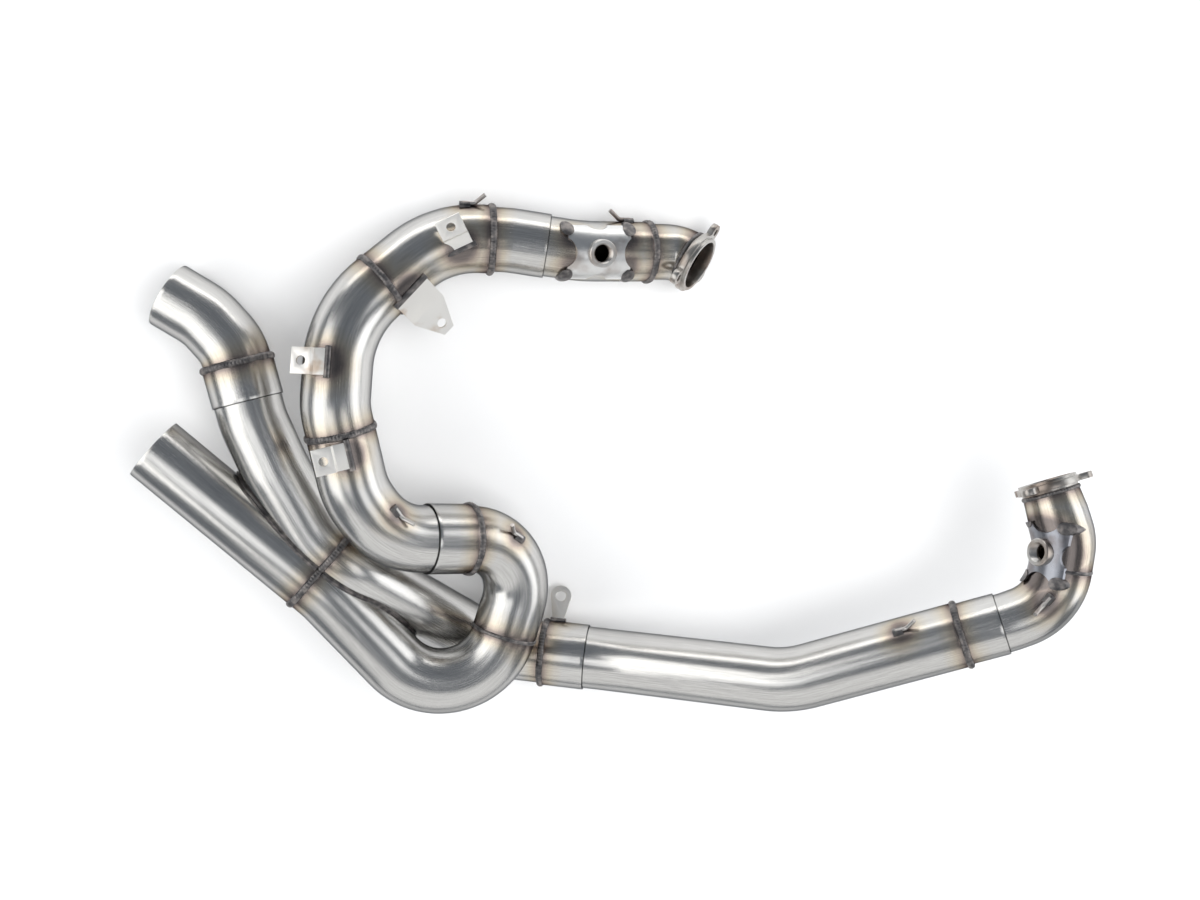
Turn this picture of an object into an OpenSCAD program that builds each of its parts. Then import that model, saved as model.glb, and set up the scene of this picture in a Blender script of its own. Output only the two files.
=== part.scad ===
// Exhaust header for a two-cylinder motorcycle: two tuned headers, a crossed merge and two outlets.
// It lies on the bench as it comes to rest. +Z is up, X runs from the outlets to the front port,
// and the origin is under the middle of the header at bench height. Sizes are in millimetres.

/* [Tubes] */
// Wall thickness of every tube
wall = 1.5; // [1:0.1:2.5]
// Play on the diameter between a tube and the sleeve it slides into
slip_gap = 0.5; // [0.3:0.05:0.8]
// Outside diameter of the rear port bend, which every larger tube steps up from
port_od = 53; // [45:0.5:60]
// Depth that a welded lap joint pushes one tube into the next
lap_depth = 8; // [5:0.5:12]
// Depth that a slip joint pushes one tube into its sleeve
slip_depth = 22; // [12:0.5:25]
// Extra diameter of a bend over the straight tube
bend_swell = 0.24; // [0.2:0.01:0.3]

/* [Rear header corners] */
// Lip of the rear flange
rear_0 = [90.7, 183.2, 39.3]; // [-500:0.1:500]
// Corner of the rear port bend
rear_1 = [70.7, 193.7, 25.8]; // [-500:0.1:500]
// Corner behind the rear sensor
rear_2 = [-25.3, 200.7, 48.3]; // [-500:0.1:500]
// Corner inside the upper sleeve
rear_3 = [-92.3, 211.7, 43.3]; // [-500:0.1:500]
// First corner of the upper hook
rear_4 = [-154.8, 216.2, 46.8]; // [-500:0.1:500]
// Second corner of the upper hook
rear_5 = [-247.3, 151.7, 84.8]; // [-500:0.1:500]
// Corner over the lower tab
rear_6 = [-255.3, 75.7, 117.8]; // [-500:0.1:500]
// First corner of the elbow
rear_7 = [-240.8, -3.3, 128.8]; // [-500:0.1:500]
// Second corner of the elbow
rear_8 = [-212.3, -49.3, 130.3]; // [-500:0.1:500]
// Corner of the upper loop bend
rear_9 = [-74.8, -77.8, 75.3]; // [-500:0.1:500]
// Corner of the lower loop bend
rear_10 = [-143.8, -267.8, 128.8]; // [-500:0.1:500]
// Corner just before the merge
rear_11 = [-275.8, -113.3, 100.8]; // [-500:0.1:500]
// End of the lower outlet
rear_12 = [-429.8, 25.7, 67.8]; // [-500:0.1:500]
// Bend radii from the port to the start of the hook
rear_radii_a = [29, 90, 70, 95]; // [25:1:320]
// Bend radii from the hook to the elbow
rear_radii_b = [105, 60, 75, 68]; // [25:1:320]
// Bend radii of the loop and before the merge
rear_radii_c = [54, 63, 100]; // [25:1:320]

/* [Front header corners] */
// End of the upper outlet
front_0 = [-408.8, 164.2, 31.8]; // [-500:0.1:500]
// First corner of the upper outlet tip
front_1 = [-375.3, 144.2, 40.3]; // [-500:0.1:500]
// Second corner of the upper outlet tip
front_2 = [-351.8, 117.2, 48.3]; // [-500:0.1:500]
// Corner after the outlet sleeve
front_3 = [-335.8, 49.7, 67.3]; // [-500:0.1:500]
// Corner of the upper outlet tube
front_4 = [-317.3, 3.7, 77.3]; // [-500:0.1:500]
// Corner where the front header leaves the merge and dips under the loop
front_7 = [-119.8, -216.3, 27.8]; // [-500:0.1:500]
// Corner after the front sleeve
front_8 = [5.2, -225.3, 55.8]; // [-500:0.1:500]
// Corner in the middle of the long tube
front_9 = [172.2, -216.8, 134.8]; // [-500:0.1:500]
// Corner after the second sleeve
front_10 = [371.7, -139.3, 182.3]; // [-500:0.1:500]
// First corner of the front bend
front_11 = [414.2, -120.8, 188.3]; // [-500:0.1:500]
// Second corner of the front bend
front_12 = [424.2, -59.3, 173.8]; // [-500:0.1:500]
// Middle of the front flange plate
front_13 = [411.7, -13.3, 151.8]; // [-500:0.1:500]
// Bend radii of the upper outlet, from its end to the merge
front_radii_a = [60, 55, 90, 120]; // [25:1:320]
// Bend radii at the merge and where the tube dips
front_radii_b = [85, 60, 60]; // [25:1:320]
// Bend radii of the long tube and the front bend
front_radii_c = [200, 110, 90, 58]; // [25:1:320]
// Bend radius next to the front flange
front_radius_d = 50; // [25:1:320]
// Length of tube after that bend before it draws in to the port
cone_start = 14; // [4:0.5:20]

/* [Merge] */
// Distance from the rear corner to the merge ring along the lower outlet
merge_at = 19; // [16:0.5:24]
// Distance between the two tube centres at the merge ring
merge_spread = 31.8; // [28:0.2:40]
// Angle of the front header around the lower outlet
merge_roll = -78.6; // [-180:0.2:180]
// Distance from the merge ring to the bend of the upper outlet
merge_after = 20; // [16:0.5:30]
// Distance from the merge ring to the bend of the front header
merge_before = 22; // [16:0.5:30]
// Height of the seam that fills the groove between the merged tubes
seam_rise = 2.6; // [1:0.1:4]

/* [Joint places] */
// From the port corner to the end of the rear port bend
port_joint = 32.5; // [28:0.5:45]
// From the sensor corner to the open end of the upper sleeve
upper_slip = 31.5; // [26:0.5:36]
// From the sleeve corner to the upper hook
upper_lap = 17.5; // [14:0.5:18.5]
// From the first hook corner to the weld in the hook
hook_weld_at = 71; // [50:0.5:71]
// From the corner over the lower tab to its weld
elbow_weld_at = 22.5; // [16:0.5:30]
// From the elbow to the open end of the lower sleeve
lower_slip = 37.5; // [35:0.5:42]
// From the elbow to the loop end of the lower sleeve
lower_lap = 80; // [74:0.5:80]
// From the upper loop corner to the weld in the loop
loop_weld_at = 97.5; // [80:0.5:97.5]
// From the tip corner to the welded end of the outlet sleeve
outlet_lap = 17; // [17:0.5:22]
// From the tip corner to the open end of the outlet sleeve
outlet_slip = 52.5; // [50:0.5:60]
// From the dip to the welded end of the front sleeve
front_lap = 58; // [45:0.5:62]
// From the dip to the open end of the front sleeve
front_slip = 101.5; // [94:0.5:108]
// From the middle corner to the end of the long tube
long_lap = 173.5; // [160:0.5:176]
// From the middle corner to the open end of the second sleeve
long_slip = 213.5; // [206:0.5:214]
// From the front bend corner to its weld
front_weld_at = 36; // [35.5:0.5:44]

/* [Welds] */
// Length of a lap weld along the tube
lap_bead = 5; // [3:0.5:7]
// Height of a lap weld over the larger tube
lap_rise = 1.2; // [0.5:0.1:2.5]
// Width of a butt weld
butt_bead = 5.5; // [3:0.5:8]
// Height of a butt weld over the tube
butt_rise = 1.6; // [0.6:0.1:2.5]
// Width of the merge ring weld
merge_bead = 7.5; // [4:0.5:10]
// Height of the merge ring weld
merge_rise = 2.4; // [1:0.1:4]

/* [Port flanges] */
// Clear bore of the flange
flange_bore = 48; // [40:0.5:49]
// Thickness of the plate with the ears
flange_plate = 6; // [4:0.5:9]
// Diameter of the plate between the ears
flange_disc = 60; // [56:0.5:66]
// Depth of the raised lip in front of the plate
flange_lip = 3; // [1:0.5:6]
// Outside diameter of the raised lip
lip_od = 55; // [51:0.5:59]
// Length of the neck behind the plate
flange_neck = 4; // [2:0.5:6]
// Distance from the bore centre to each ear hole
ear_radius = 34; // [31:0.5:40]
// Width of an ear
ear_width = 15; // [12:0.5:18]
// Hole in each ear
ear_hole = 6.5; // [5:0.5:9]
// Angle from the lone ear to each of the others
ear_spacing = 130; // [110:1:140]
// Turn of the rear flange on its port
rear_flange_roll = 150; // [-180:1:180]
// Turn of the front flange on its port
front_flange_roll = 100; // [-180:1:180]

/* [Sensor bosses] */
// Outside diameter of a sensor boss
boss_od = 26; // [22:0.5:32]
// Threaded hole through a boss
boss_hole = 16.5; // [12:0.1:18]
// Height of a boss over the tube
boss_rise = 7.5; // [4:0.5:12]
// Depth of the chamfer at the mouth of the hole
boss_chamfer = 1; // [0.5:0.1:2]
// Thickness of the saddle plate round a boss
saddle_plate = 2; // [1:0.1:3]
// Length of the rear saddle plate along the tube
saddle_length = 60; // [50:1:70]
// Width of the rear saddle plate measured straight across
saddle_width = 50; // [40:1:54]
// Length of the front saddle plate
front_saddle_length = 52; // [46:1:60]
// Width of the front saddle plate
front_saddle_width = 44; // [38:1:48]
// Radius of the notch in each side of a saddle plate
saddle_notch = 16; // [10:0.5:20]
// From the port corner to the rear boss
rear_boss_at = 88; // [80:0.5:98]
// Turn of the rear boss round its tube
rear_boss_roll = -172; // [-180:1:180]
// From the front bend corner to the front boss
front_boss_at = 50; // [44:0.5:56]
// Turn of the front boss round its tube
front_boss_roll = 111.5; // [-180:0.5:180]

/* [Spring hooks] */
// Diameter of the hook wire
hook_wire = 4; // [3:0.1:6]
// Length of the hook that lies along the tube
hook_foot = 11; // [6:0.5:16]
// Length of the lifted end of the hook
hook_prong = 13; // [8:0.5:18]
// Angle at which the end lifts off the tube
hook_lift = 42; // [20:1:70]
// Bend radius of the hook wire
hook_bend = 5; // [3:0.5:8]
// Diameter of the weld round the foot of a hook
foot_bead = 9; // [7:0.5:12]
// Half the length of that weld
hook_blob = 5; // [4:0.5:8]
// Upper hook: distance from its corner, turn, direction
hook_a = [39, -97, -1]; // [-180:0.5:180]
// Hook next to the rear sensor
hook_b = [56, -86, 1]; // [-180:0.5:180]
// Hook on the elbow
hook_c = [33, 127, 1]; // [-180:0.5:180]
// Hook on the loop: angle along its bend, turn, direction
hook_d = [29.5, 125, -1]; // [-180:0.5:180]
// Hook on the long tube
hook_e = [122, 114, 1]; // [-180:0.5:180]
// Hook on the front bend: angle along its bend, turn, direction
hook_f = [28, 148, -1]; // [-180:0.5:180]

/* [Tabs and bracket] */
// Thickness of the tab plate
tab_plate = 2.5; // [1.5:0.1:4]
// Width of a tab along the tube
tab_width = 24; // [16:0.5:32]
// Length of the tab leg from the weld to the step
tab_leg = 11; // [8:0.5:16]
// Height of the step in a tab
tab_step = 2.5; // [1:0.1:5]
// Length of the tab pad
tab_pad = 18; // [12:0.5:26]
// Hole in a tab
tab_hole = 8.5; // [5:0.5:12]
// Diameter of the weld along the foot of a tab
tab_bead = 6; // [4:0.5:9]
// Upper tab: distance from its corner, turn, twist
tab_a = [46, -164, 0]; // [-180:0.5:180]
// Lower tab
tab_b = [39.5, 170, 0]; // [-180:0.5:180]
// Turned tab on the hook
tab_c = [46, 175, 28]; // [-180:0.5:180]
// Bracket: distance from its corner, turn, twist
bracket_place = [58.5, 146, 10.5]; // [-180:0.5:180]
// Width of the bracket at its weld
bracket_width = 38; // [28:0.5:50]
// Width of the bracket at its tip
bracket_tip = 12; // [8:0.5:20]
// Length of the bracket wall next to the tube
bracket_wall = 28.5; // [20:0.5:34]
// Length of the bracket face after the fold
bracket_face = 31.5; // [26:0.5:44]
// Angle of the fold
bracket_fold = 20; // [5:1:60]
// Bolt hole in the bracket
bracket_hole = 9; // [6:0.5:12]
// Distance from the fold to the bolt hole
bracket_hole_at = 21; // [14:0.5:24]

/* [Ring lug] */
// Distance from the dip to the lug
lug_at = 68; // [62:0.5:90]
// Turn of the lug round the sleeve
lug_roll = 63; // [-180:0.5:180]
// Height of the lug hole over the sleeve
lug_rise = 26; // [16:0.5:36]
// Outside radius of the lug head
lug_head = 11; // [8:0.5:15]
// Hole in the lug
lug_hole = 10.5; // [6:0.5:14]
// Width of the lug foot
lug_foot = 10; // [6:0.5:18]
// Thickness of the lug plate
lug_plate = 4; // [2:0.5:6]

/* [Hidden] */
$fn = 192;
joint_reach = 0.5;

// Each size slides into the next one.
step = 2 * wall + slip_gap;
od_1 = port_od;
od_2 = od_1 + step;
od_3 = od_2 + step;
od_4 = od_3 + step;
od_5 = od_4 + step;

function unit(v) = v / norm(v);
function toward(a, b, d) = a + unit(b - a) * d;
function tilt(v) = acos(v[2] / norm(v));
function heading(v) = atan2(v[1], v[0]);
function side_x(v) = [cos(tilt(v)) * cos(heading(v)), cos(tilt(v)) * sin(heading(v)), -sin(tilt(v))];
function side_y(v) = [-sin(heading(v)), cos(heading(v)), 0];
function roll_of(v, w) = atan2(w * side_y(v), w * side_x(v));
function radial(v, roll) = side_x(v) * cos(roll) + side_y(v) * sin(roll);
function turn(a, b, c) = acos(unit(b - a) * unit(c - b));

// The two merged tubes run side by side through the merge ring.
merge_way = unit(rear_12 - rear_11);
merge_mid = rear_11 + merge_way * merge_at;
merge_top = merge_mid + radial(merge_way, merge_roll) * merge_spread;
front_5 = merge_top + merge_way * merge_after;
front_6 = merge_top - merge_way * merge_before;

// Places of the joints on the rear header
at_port = toward(rear_1, rear_2, port_joint);
at_upper_slip = toward(rear_2, rear_3, upper_slip);
at_upper_lap = toward(rear_3, rear_4, upper_lap);
at_hook_weld = toward(rear_4, rear_5, hook_weld_at);
at_elbow_weld = toward(rear_6, rear_7, elbow_weld_at);
at_lower_slip = toward(rear_8, rear_9, lower_slip);
at_lower_lap = toward(rear_8, rear_9, lower_lap);
at_loop_weld = toward(rear_9, rear_10, loop_weld_at);
at_rear_neck = toward(rear_0, rear_1, flange_lip + flange_plate + flange_neck);

// Places of the joints on the front header
at_outlet_lap = toward(front_2, front_3, outlet_lap);
at_outlet_slip = toward(front_2, front_3, outlet_slip);
at_front_lap = toward(front_7, front_8, front_lap);
at_front_slip = toward(front_7, front_8, front_slip);
at_long_lap = toward(front_9, front_10, long_lap);
at_long_slip = toward(front_9, front_10, long_slip);
at_front_weld = toward(front_11, front_12, front_weld_at);
at_front_neck = toward(front_13, front_12, flange_plate / 2 + flange_neck);
front_cut = front_radius_d * tan(turn(front_11, front_12, front_13) / 2);

// Corner lists of the four tubes that meet in the merge
path_loop = [at_loop_weld, rear_10, rear_11, merge_mid];
path_lower_outlet = [merge_mid, rear_12];
path_inlet = [toward(front_7, front_8, front_lap + lap_depth), front_7, front_6, merge_top];
path_upper_outlet = [merge_top, front_5, front_4, front_3,
    toward(front_2, front_3, outlet_slip - slip_depth)];
radii_loop = [rear_radii_c[1], rear_radii_c[2]];
radii_inlet = [front_radii_b[2], front_radii_b[1]];
radii_upper_outlet = [front_radii_b[0], front_radii_a[3], front_radii_a[2]];

// A point at an angle along a bend, and the way of the tube there
function on_bend(a, b, c, r, angle) =
    let (u = unit(b - a), axis = unit(cross(u, unit(c - b))), out = cross(u, axis))
    [b - u * r * tan(turn(a, b, c) / 2) - out * r + (out * cos(angle) + u * sin(angle)) * r,
        u * cos(angle) - out * sin(angle)];
hook_d_seat = on_bend(rear_8, rear_9, rear_10, rear_radii_c[0], hook_d[0]);
hook_f_seat = on_bend(front_10, front_11, front_12, front_radii_c[3], hook_f[0]);

// Stands the children on the line from a to b, at distance d from a, turned by roll.
module along(a, b, d = 0, roll = 0) {
    translate(toward(a, b, d)) rotate([0, tilt(b - a), heading(b - a)]) rotate([0, 0, roll]) children();
}

// One bend of a rod, from the straight a to b over to the straight b to c
module bend(a, b, c, r, d) {
    u = unit(b - a);
    axis = unit(cross(u, unit(c - b)));
    out = cross(u, axis);
    angle = turn(a, b, c);
    translate(b - u * r * tan(angle / 2) - out * r)
        rotate([0, tilt(axis), heading(axis)])
            rotate([0, 0, roll_of(axis, out)])
                rotate_extrude(angle = angle) translate([r, 0]) circle(d = d);
}

// A solid rod through the corners p with the bend radii r. Its ends run on by grow.
// The straights reach a little way into the bends, which are wider by bend_swell.
module rod(p, r, d, grow = 0) {
    n = len(p);
    t = [for (i = [0:n - 1]) i == 0 || i == n - 1 ? 0 : r[i - 1] * tan(turn(p[i - 1], p[i], p[i + 1]) / 2)];
    for (i = [0:n - 2]) {
        first = i == 0 ? grow : joint_reach;
        last = i == n - 2 ? grow : joint_reach;
        along(p[i], p[i + 1], t[i] - first)
            cylinder(d = d, h = norm(p[i + 1] - p[i]) - t[i] - t[i + 1] + first + last);
    }
    if (n > 2) for (i = [1:n - 2]) bend(p[i - 1], p[i], p[i + 1], r[i - 1], d + bend_swell);
}

module tube(p, r, od) {
    difference() {
        rod(p, r, od);
        rod(p, r, od - 2 * wall, 1);
    }
}

// A round weld on a tube, drawn as a flat cap of a circle turned about the tube
module butt_weld(od, width, rise) {
    cap = (width * width / 4 + rise * rise) / (2 * rise);
    rotate_extrude() intersection() {
        translate([od / 2 + rise - cap, 0]) circle(r = cap);
        translate([od / 2, -width]) square([rise + 1, 2 * width]);
    }
}

// A weld in the corner between a tube and the end face of the larger tube behind it
module lap_weld(small, large) {
    tall = (large - small) / 2 + lap_rise;
    middle = lap_bead * 0.3;
    reach = lap_bead - middle;
    cap = (reach * reach + tall * tall) / (2 * tall);
    rotate_extrude() intersection() {
        translate([small / 2 + tall - cap, middle]) circle(r = cap);
        translate([small / 2, 0]) square([tall + 1, lap_bead + 1]);
    }
}

module flange() {
    difference() {
        union() {
            cylinder(d = lip_od, h = flange_lip + flange_plate);
            translate([0, 0, flange_lip]) cylinder(d = flange_disc, h = flange_plate);
            translate([0, 0, flange_lip]) for (a = [0, ear_spacing, -ear_spacing]) rotate([0, 0, a]) {
                translate([ear_radius, 0, 0]) cylinder(d = ear_width, h = flange_plate);
                translate([0, -ear_width / 2, 0]) cube([ear_radius, ear_width, flange_plate]);
            }
            cylinder(d = port_od, h = flange_lip + flange_plate + flange_neck);
        }
        translate([0, 0, -1]) cylinder(d = flange_bore, h = flange_lip + flange_plate + flange_neck + 2);
        for (a = [0, ear_spacing, -ear_spacing])
            rotate([0, 0, a]) translate([ear_radius, 0, 0]) cylinder(d = ear_hole, h = 30);
    }
}

module rear_flange() {
    color([0.6, 0.59, 0.57]) along(rear_0, rear_1, 0, rear_flange_roll) flange();
}

module rear_flange_weld() {
    color([0.3, 0.29, 0.29]) along(rear_0, rear_1, flange_lip + flange_plate + flange_neck)
        butt_weld(port_od, flange_neck, butt_rise);
}

module rear_port_bend() {
    color([0.8, 0.79, 0.77])
        tube([at_rear_neck, rear_1, toward(rear_1, rear_2, port_joint + lap_depth)], [rear_radii_a[0]], od_1);
}

module port_joint_weld() {
    color([0.3, 0.29, 0.29]) along(at_port, rear_1) lap_weld(od_1, od_2);
}

path_sensor = [at_port, rear_2, toward(rear_2, rear_3, upper_slip + slip_depth)];

module rear_sensor_tube() {
    color([0.8, 0.79, 0.77]) difference() {
        tube(path_sensor, [rear_radii_a[1]], od_2);
        along(rear_1, rear_2, rear_boss_at, rear_boss_roll) rotate([0, 90, 0]) cylinder(d = boss_hole, h = 60);
    }
}

// The outline of a saddle seen along the boss: a plate with a round notch in each of its four sides
module saddle_outline(size) {
    difference() {
        translate(-size / 2) square(size);
        for (s = [-1, 1]) translate([s * (size[0] / 2 + saddle_notch * 0.55), 0]) circle(r = saddle_notch);
        for (s = [-1, 1]) translate([0, s * (size[1] / 2 + saddle_notch * 0.75)]) circle(r = saddle_notch);
        circle(d = boss_od);
    }
}

// A saddle plate wrapped on the tube that runs through p
module saddle(p, r, od, a, b, d, roll, size) {
    intersection() {
        difference() {
            rod(p, r, od + 2 * saddle_plate);
            rod(p, r, od, 1);
        }
        along(a, b, d, roll) rotate([0, 90, 0]) linear_extrude(od) saddle_outline(size);
    }
}

// Short welds at the four corners of a saddle
module saddle_welds(p, r, od, a, b, d, roll, size) {
    x = size[0] / 2;
    y = size[1] / 2 - 3;
    intersection() {
        difference() {
            rod(p, r, od + 2 * saddle_plate + 1.6);
            rod(p, r, od, 1);
            saddle(p, r, od, a, b, d, roll, size);
        }
        along(a, b, d, roll) rotate([0, 90, 0]) linear_extrude(od)
            for (i = [-1, 1]) for (j = [-1, 1]) translate([i * x, j * y]) circle(r = 6);
    }
}

module boss(p, r, od, a, b, d, roll) {
    top = od / 2 + boss_rise;
    difference() {
        along(a, b, d, roll) rotate([0, 90, 0]) cylinder(d = boss_od, h = top);
        rod(p, r, od, 1);
        along(a, b, d, roll) rotate([0, 90, 0]) cylinder(d = boss_hole, h = top + 1);
        along(a, b, d, roll) rotate([0, 90, 0]) translate([0, 0, top - boss_chamfer])
            cylinder(d1 = boss_hole, d2 = boss_hole + 2 * boss_chamfer + 0.2, h = boss_chamfer + 0.1);
    }
}

path_rear_seat = [at_port, rear_2, at_upper_slip];
rear_saddle = [saddle_length, saddle_width];
front_saddle = [front_saddle_length, front_saddle_width];

module rear_sensor_saddle() {
    color([0.72, 0.71, 0.69])
        saddle(path_rear_seat, [rear_radii_a[1]], od_2, rear_1, rear_2, rear_boss_at, rear_boss_roll,
            rear_saddle);
}

module rear_saddle_welds() {
    color([0.3, 0.29, 0.29])
        saddle_welds(path_rear_seat, [rear_radii_a[1]], od_2, rear_1, rear_2, rear_boss_at, rear_boss_roll,
            rear_saddle);
}

module rear_sensor_boss() {
    color([0.6, 0.59, 0.57])
        boss(path_rear_seat, [rear_radii_a[1]], od_2, rear_1, rear_2, rear_boss_at, rear_boss_roll);
}

module rear_upper_sleeve() {
    color([0.8, 0.79, 0.77])
        tube([at_upper_slip, rear_3, toward(rear_3, rear_4, upper_lap + lap_depth)], [rear_radii_a[2]], od_3);
}

module upper_sleeve_weld() {
    color([0.3, 0.29, 0.29]) along(at_upper_lap, rear_3) lap_weld(od_3, od_4);
}

path_upper_bend = [at_upper_lap, rear_4, at_hook_weld];
path_down_bend = [at_hook_weld, rear_5, rear_6, at_elbow_weld];
path_elbow = [at_elbow_weld, rear_7, rear_8, toward(rear_8, rear_9, lower_slip + slip_depth)];

module rear_upper_bend() {
    color([0.8, 0.79, 0.77]) tube(path_upper_bend, [rear_radii_a[3]], od_4);
}

module hook_weld() {
    color([0.3, 0.29, 0.29]) along(at_hook_weld, rear_5) butt_weld(od_4, butt_bead, butt_rise);
}

module rear_down_bend() {
    color([0.8, 0.79, 0.77]) tube(path_down_bend, [rear_radii_b[0], rear_radii_b[1]], od_4);
}

module elbow_weld() {
    color([0.3, 0.29, 0.29]) along(at_elbow_weld, rear_7) butt_weld(od_4, butt_bead, butt_rise);
}

module rear_lower_elbow() {
    color([0.8, 0.79, 0.77]) tube(path_elbow, [rear_radii_b[2], rear_radii_b[3]], od_4);
}

module rear_lower_sleeve() {
    color([0.8, 0.79, 0.77]) tube([at_lower_slip, at_lower_lap], [], od_5);
}

module lower_sleeve_weld() {
    color([0.3, 0.29, 0.29]) along(at_lower_lap, rear_9) lap_weld(od_4, od_5);
}

path_upper_loop = [toward(rear_8, rear_9, lower_lap - lap_depth), rear_9, at_loop_weld];

module loop_upper_bend() {
    color([0.8, 0.79, 0.77]) tube(path_upper_loop, [rear_radii_c[0]], od_4);
}

module loop_weld() {
    color([0.3, 0.29, 0.29]) along(at_loop_weld, rear_10) butt_weld(od_4, butt_bead, butt_rise);
}

// The rear header keeps its full round through the merge and has the front header's bore cut into it.
module loop_lower_bend() {
    color([0.8, 0.79, 0.77]) difference() {
        tube(path_loop, radii_loop, od_4);
        rod(path_inlet, radii_inlet, od_4 - 2 * wall, 1);
    }
}

module outlet_lower() {
    color([0.8, 0.79, 0.77]) difference() {
        tube(path_lower_outlet, [], od_4);
        rod(path_upper_outlet, radii_upper_outlet, od_4 - 2 * wall, 1);
    }
}

// The front header is notched to sit on the round of the rear header.
module front_inlet() {
    color([0.8, 0.79, 0.77]) difference() {
        tube(path_inlet, radii_inlet, od_4);
        rod(path_loop, radii_loop, od_4, 1);
    }
}

module outlet_upper_tube() {
    color([0.8, 0.79, 0.77]) difference() {
        tube(path_upper_outlet, radii_upper_outlet, od_4);
        rod(path_lower_outlet, [], od_4, 1);
    }
}

module merge_ring() {
    color([0.3, 0.29, 0.29]) difference() {
        union() {
            along(merge_mid, rear_12) butt_weld(od_4, merge_bead, merge_rise);
            along(merge_top, front_5) butt_weld(od_4, merge_bead, merge_rise);
        }
        along(merge_mid, rear_12, -merge_bead) cylinder(d = od_4, h = 2 * merge_bead);
        along(merge_top, front_5, -merge_bead) cylinder(d = od_4, h = 2 * merge_bead);
    }
}

module inlet_seam() {
    color([0.3, 0.29, 0.29]) difference() {
        intersection() {
            rod(path_loop, radii_loop, od_4 + 2 * seam_rise);
            rod(path_inlet, radii_inlet, od_4 + 2 * seam_rise);
        }
        rod(path_loop, radii_loop, od_4, 1);
        rod(path_inlet, radii_inlet, od_4, 1);
        along(merge_mid, rear_12, -merge_bead / 2) cylinder(r = 2 * od_4, h = merge_bead);
    }
}

module outlet_seam() {
    color([0.3, 0.29, 0.29]) difference() {
        intersection() {
            rod(path_lower_outlet, [], od_4 + 2 * seam_rise);
            rod(path_upper_outlet, radii_upper_outlet, od_4 + 2 * seam_rise);
        }
        rod(path_lower_outlet, [], od_4, 1);
        rod(path_upper_outlet, radii_upper_outlet, od_4, 1);
        along(merge_mid, rear_12, -merge_bead / 2) cylinder(r = 2 * od_4, h = merge_bead);
    }
}

module outlet_sleeve() {
    color([0.8, 0.79, 0.77]) tube([at_outlet_lap, at_outlet_slip], [], od_5);
}

module outlet_sleeve_weld() {
    color([0.3, 0.29, 0.29]) along(at_outlet_lap, front_2) lap_weld(od_4, od_5);
}

module outlet_upper_tip() {
    color([0.8, 0.79, 0.77])
        tube([front_0, front_1, front_2, toward(front_2, front_3, outlet_lap + lap_depth)],
            [front_radii_a[0], front_radii_a[1]], od_4);
}

module front_sleeve_weld() {
    color([0.3, 0.29, 0.29]) along(at_front_lap, front_7) lap_weld(od_4, od_5);
}

module front_sleeve() {
    color([0.8, 0.79, 0.77]) tube([at_front_lap, at_front_slip], [], od_5);
}

path_long = [toward(front_7, front_8, front_slip - slip_depth), front_8, front_9, at_long_lap];

module front_long_tube() {
    color([0.8, 0.79, 0.77]) tube(path_long, [front_radii_c[0], front_radii_c[1]], od_4);
}

module second_sleeve_weld() {
    color([0.3, 0.29, 0.29]) along(at_long_lap, front_10) lap_weld(od_3, od_4);
}

module front_second_sleeve() {
    color([0.8, 0.79, 0.77]) tube([toward(front_9, front_10, long_lap - lap_depth), at_long_slip], [], od_3);
}

path_front_bend = [toward(front_9, front_10, long_slip - slip_depth), front_10, front_11, at_front_weld];

module front_lower_bend() {
    color([0.8, 0.79, 0.77]) tube(path_front_bend, [front_radii_c[2], front_radii_c[3]], od_2);
}

path_front_seat = [front_10, front_11, front_12, toward(front_12, front_13, front_cut + cone_start)];
radii_front_seat = [front_radii_c[3], front_radius_d];
path_front_port = [at_front_weld, front_12, toward(front_12, front_13, front_cut + cone_start)];

// This weld stops at both sides of the saddle plate that lies over it.
module front_bend_weld() {
    color([0.3, 0.29, 0.29]) difference() {
        along(at_front_weld, front_12) butt_weld(od_2, butt_bead * 0.6, butt_rise * 0.5);
        saddle(path_front_seat, radii_front_seat, od_2, front_11, front_12, front_boss_at, front_boss_roll,
            front_saddle);
    }
}

// The last straight of the front header draws in to the size of the port.
module front_cone(d, small) {
    start = front_cut + cone_start - joint_reach;
    along(front_12, front_13, start)
        cylinder(d1 = d - bend_swell, d2 = small, h = norm(at_front_neck - front_12) - start);
}

module front_port_bend() {
    color([0.8, 0.79, 0.77]) difference() {
        union() {
            rod(path_front_port, [front_radius_d], od_2);
            front_cone(od_2, od_1);
        }
        rod([toward(at_front_weld, front_11, 1), front_12, path_front_port[2]], [front_radius_d], od_2 - 2 * wall);
        front_cone(od_2 - 2 * wall, od_1 - 2 * wall);
        along(at_front_neck, front_13, -0.05) cylinder(d = od_1 - 2 * wall - bend_swell, h = 2);
        along(front_11, front_12, front_boss_at, front_boss_roll) rotate([0, 90, 0])
            cylinder(d = boss_hole, h = 60);
    }
}

module front_sensor_saddle() {
    color([0.72, 0.71, 0.69])
        saddle(path_front_seat, radii_front_seat, od_2, front_11, front_12, front_boss_at, front_boss_roll,
            front_saddle);
}

module front_saddle_welds() {
    color([0.3, 0.29, 0.29])
        saddle_welds(path_front_seat, radii_front_seat, od_2, front_11, front_12, front_boss_at,
            front_boss_roll, front_saddle);
}

module front_sensor_boss() {
    color([0.6, 0.59, 0.57])
        boss(path_front_seat, radii_front_seat, od_2, front_11, front_12, front_boss_at, front_boss_roll);
}

module front_flange_weld() {
    color([0.3, 0.29, 0.29]) along(at_front_neck, front_12) butt_weld(port_od, flange_neck, butt_rise);
}

module front_flange() {
    color([0.6, 0.59, 0.57])
        along(front_13, front_12, -flange_lip - flange_plate / 2, front_flange_roll) flange();
}

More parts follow.
